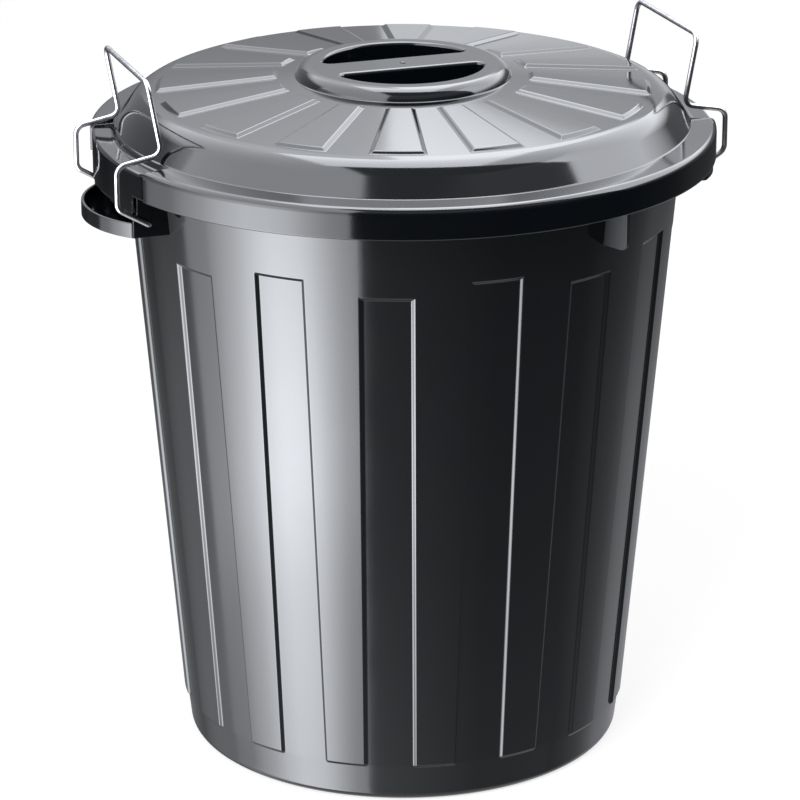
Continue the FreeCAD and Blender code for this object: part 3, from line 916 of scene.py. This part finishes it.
# Studio: a pale floor under an even white surround and two soft lamps that give a plain level of light. A
# tall softbox on the left, one above, and grey and black cards round the bin only mirror in glossy surfaces.
# Cards stand at turns from the camera's side, and each pair of numbers of a card is a place and its level.
floor_size = 12.0
floor_white = 0.72
floor_shade = 0.42
card_steps = 48
card_scale = 20.0
card_tint = (0.955, 0.98, 1.03, 1)
card_radius = 1.9
card_low = -2.2
card_middle = 0.3
card_high = 3.0
softbox_right = -17.5
softbox_left = -101.0
softbox_high = 1.2
foot_right = 85.0
upper_right = 81.0
back_right = 158.0
back_middle = 181.0
back_left = 202.0
left_end = 259.0
ceiling_edge = 0.2
lamp_aim = Vector((0, 0, 0.3))


def flat_material(name):
    """Empty node material for the studio, with its tree and output."""
    made = bpy.data.materials.new(name)
    made.use_nodes = True
    made.node_tree.nodes.clear()
    return made, made.node_tree, node(made.node_tree, "ShaderNodeOutputMaterial", (6, 0))


floor_paint, floor_tree, floor_out = flat_material("floor_paint")
f_light = node(floor_tree, "ShaderNodeEmission", (2, 0))
f_path = node(floor_tree, "ShaderNodeLightPath", (0, 0))
f_camera = node(floor_tree, "ShaderNodeMath", (1, 1), operation="MULTIPLY")
f_camera.inputs[1].default_value = floor_white
f_matt = node(floor_tree, "ShaderNodeBsdfDiffuse", (2, 2))
f_matt.inputs["Color"].default_value = (floor_shade, floor_shade, floor_shade, 1)
f_sum = node(floor_tree, "ShaderNodeAddShader", (4, 0))
link(floor_tree, f_path.outputs["Is Camera Ray"], f_camera.inputs[0])
link(floor_tree, f_camera.outputs[0], f_light.inputs["Strength"])
link(floor_tree, f_light.outputs[0], f_sum.inputs[0])
link(floor_tree, f_matt.outputs[0], f_sum.inputs[1])
link(floor_tree, f_sum.outputs[0], floor_out.inputs["Surface"])
floor_shape = bmesh.new()
bmesh.ops.create_grid(floor_shape, x_segments=1, y_segments=1, size=floor_size)
studio_floor = piece("studio_floor", floor_shape, floor_paint)
studio_floor.visible_glossy = False
studio_floor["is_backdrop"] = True


def card_material(name, across_stops, up_stops):
    """Glowing card whose light follows stops across its width and stops up its height."""
    made, tree, out = flat_material(name)
    uv = node(tree, "ShaderNodeUVMap", (0, 0), uv_map="card")
    parts = node(tree, "ShaderNodeSeparateXYZ", (1, 0))
    link(tree, uv.outputs[0], parts.inputs[0])
    product = node(tree, "ShaderNodeMath", (4, 0), operation="MULTIPLY")
    for index, (axis, stops) in enumerate((("X", across_stops), ("Y", up_stops))):
        curve = node(tree, "ShaderNodeFloatCurve", (2, index))
        points = curve.mapping.curves[0].points
        for place, level in stops[1:-1]:
            points.new(place, level)
        points[0].location = stops[0]
        points[-1].location = stops[-1]
        for point in points:
            point.handle_type = "VECTOR"
        curve.mapping.update()
        link(tree, parts.outputs[axis], curve.inputs["Value"])
        link(tree, curve.outputs[0], product.inputs[index])
    glow = node(tree, "ShaderNodeEmission", (5, 0))
    glow.inputs["Color"].default_value = card_tint
    strength = node(tree, "ShaderNodeMath", (5, 1), operation="MULTIPLY")
    strength.inputs[1].default_value = card_scale
    link(tree, product.outputs[0], strength.inputs[0])
    link(tree, strength.outputs[0], glow.inputs["Strength"])
    link(tree, glow.outputs[0], out.inputs["Surface"])
    return made


def card(name, place, across_levels, up_levels):
    """Card from the first to the last place across and up, which is seen only as a reflection."""
    ends = []
    stops = []
    for levels, scale in ((across_levels, 1), (up_levels, card_scale)):
        start, stop = levels[0][0], levels[-1][0]
        ends.append((start, stop))
        stops.append([((value - start) / (stop - start), level / scale) for value, level in levels])
    across_ends, up_ends = ends
    columns = [across_ends[0]] + between(*across_ends, card_steps - 1) + [across_ends[1]]
    rows = [[Vector(place(column, up)) / MM for column in columns] for up in up_ends]
    made = piece(name, sheet(rows, False), card_material(name + "_cloth", *stops))
    made.visible_camera = False
    made.visible_diffuse = False
    made.visible_transmission = False
    made.visible_shadow = False
    layer = made.data.uv_layers.new(name="card")
    for loop in made.data.loops:
        up, column = divmod(loop.vertex_index, len(columns))
        layer.data[loop.index].uv = (column / card_steps, up)
    made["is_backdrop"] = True


def round_the_bin(turn, z):
    """Place of an upright card, at a turn from the camera's side and a height."""
    turn = camera_turn + math.radians(turn)
    return (card_radius * math.sin(turn), -card_radius * math.cos(turn), z)


def over_the_bin(right, near):
    """Place of a card on the ceiling, to the right of the bin and nearer to the camera."""
    turned = Matrix.Rotation(camera_turn, 3, "Z") @ Vector((right, -near, 0))
    return (turned.x, turned.y, card_high)


card("softbox", round_the_bin,
     [(softbox_right, 0.36), (-25, 0.44), (-32, 0.64), (-40, 0.92), (-47, 1), (-55, 1), (-64, 0.8),
      (-73, 0.52), (-81, 0.37), (-88, 0.21), (softbox_left, 0.15)],
     [(card_low, 11), (-1.2, 12), (-0.86, 14.4), (-0.7, 20), (-0.48, 17), (-0.12, 12), (0.3, 8),
      (softbox_high, 7)])
card("softbox_top", round_the_bin, [(softbox_right, 1), (softbox_left, 0.9)],
     [(softbox_high, 5), (card_high, 5.4)])
card("black_card", round_the_bin,
     [(softbox_right, 1), (10, 0.75), (40, 0.45), (foot_right, 0.4)],
     [(card_low, 1.3), (-1.2, 1.0), (-0.86, 0.65), (-0.46, 0.42), (-0.3, 0.28), (-0.1, 0.09),
      (card_middle, 0.04)])
card("black_top", round_the_bin, [(softbox_right, 1), (upper_right, 1)],
     [(card_middle, 0.06), (1.2, 0.12), (1.85, 0.6), (card_high, 0.7)])
card("back_foot", round_the_bin,
     [(foot_right, 0.2), (110, 0.33), (125, 0.55), (140, 0.42), (170, 0.27), (200, 0.18), (225, 0.2),
      (240, 0.6), (left_end, 0.95)],
     [(card_low, 1.6), (-0.9, 1.45), (-0.5, 1.1), (-0.25, 0.6), (-0.05, 0.18), (card_middle, 0.18)])
card("back_right", round_the_bin, [(upper_right, 1), (115, 0.7), (back_right, 0.6)],
     [(card_middle, 0.2), (0.85, 0.6), (1.05, 4), (1.3, 8.5), (card_high, 9.5)])
card("back_card", round_the_bin, [(back_right, 1), (back_middle, 1)],
     [(card_middle, 0.5), (0.67, 1.3), (0.85, 1.1), (1.03, 1.05), (1.385, 1.7), (1.43, 3.4), (1.66, 6),
      (2.42, 9), (card_high, 11)])
card("back_grey", round_the_bin, [(back_middle, 1), (back_left, 1)],
     [(card_middle, 0.3), (0.67, 0.5), (0.95, 0.8), (1.15, 1.25), (1.385, 1.75), (1.66, 2.7), (2.42, 4.5),
      (card_high, 5.5)])
card("back_left", round_the_bin, [(back_left, 1), (left_end, 1)],
     [(card_middle, 0.4), (1.3, 0.6), (1.7, 4.3), (card_high, 5)])
card("ceiling", over_the_bin,
     [(-card_radius, 0.45), (-0.85, 0.5), (-0.75, 1), (0.75, 1), (0.85, 0.55), (card_radius, 0.55)],
     [(-card_radius, 11), (ceiling_edge, 11)])
card("ceiling_front", over_the_bin,
     [(-card_radius, 1), (-0.66, 1), (-0.6, 0.08), (card_radius, 0.08)],
     [(ceiling_edge, 5.2), (card_radius, 5.2)])


def lamp(name, place, size, power):
    """Square soft lamp that points at the bin and doesn't mirror in it."""
    data = bpy.data.lights.new(name, "AREA")
    data.size = size
    data.energy = power
    made = placed(name, data)
    made.location = place
    made.rotation_euler = (lamp_aim - Vector(place)).to_track_quat("-Z", "Y").to_euler()
    made.visible_glossy = False


lamp("key_lamp", (-1.8, -1.8, 2.6), 1.8, 60)
lamp("fill_lamp", (2.2, -1.0, 2.4), 2.0, 30)
studio_world = bpy.data.worlds.new("studio_world")
studio_world.use_nodes = True
bpy.context.scene.world = studio_world
sky = studio_world.node_tree
sky_light = sky.nodes["Background"]
sky_path = node(sky, "ShaderNodeLightPath", (-4, 0))
sky_mirror = node(sky, "ShaderNodeMath", (-3, 0), operation="MAXIMUM")
sky_seen = node(sky, "ShaderNodeMath", (-2, 0), operation="MAXIMUM")
sky_level = node(sky, "ShaderNodeMapRange", (-1, 0))
sky_level.inputs["To Min"].default_value = 0.5
sky_level.inputs["To Max"].default_value = 1.0
link(sky, sky_path.outputs["Is Camera Ray"], sky_mirror.inputs[0])
link(sky, sky_path.outputs["Is Glossy Ray"], sky_mirror.inputs[1])
link(sky, sky_mirror.outputs[0], sky_seen.inputs[0])
link(sky, sky_path.outputs["Is Transmission Ray"], sky_seen.inputs[1])
link(sky, sky_seen.outputs[0], sky_level.inputs["Value"])
link(sky, sky_level.outputs[0], sky_light.inputs["Strength"])
sky_light.inputs["Color"].default_value = (1, 1, 1, 1)
bpy.context.scene.view_settings.view_transform = "Standard"

bpy.context.view_layer.update()
low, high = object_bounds()
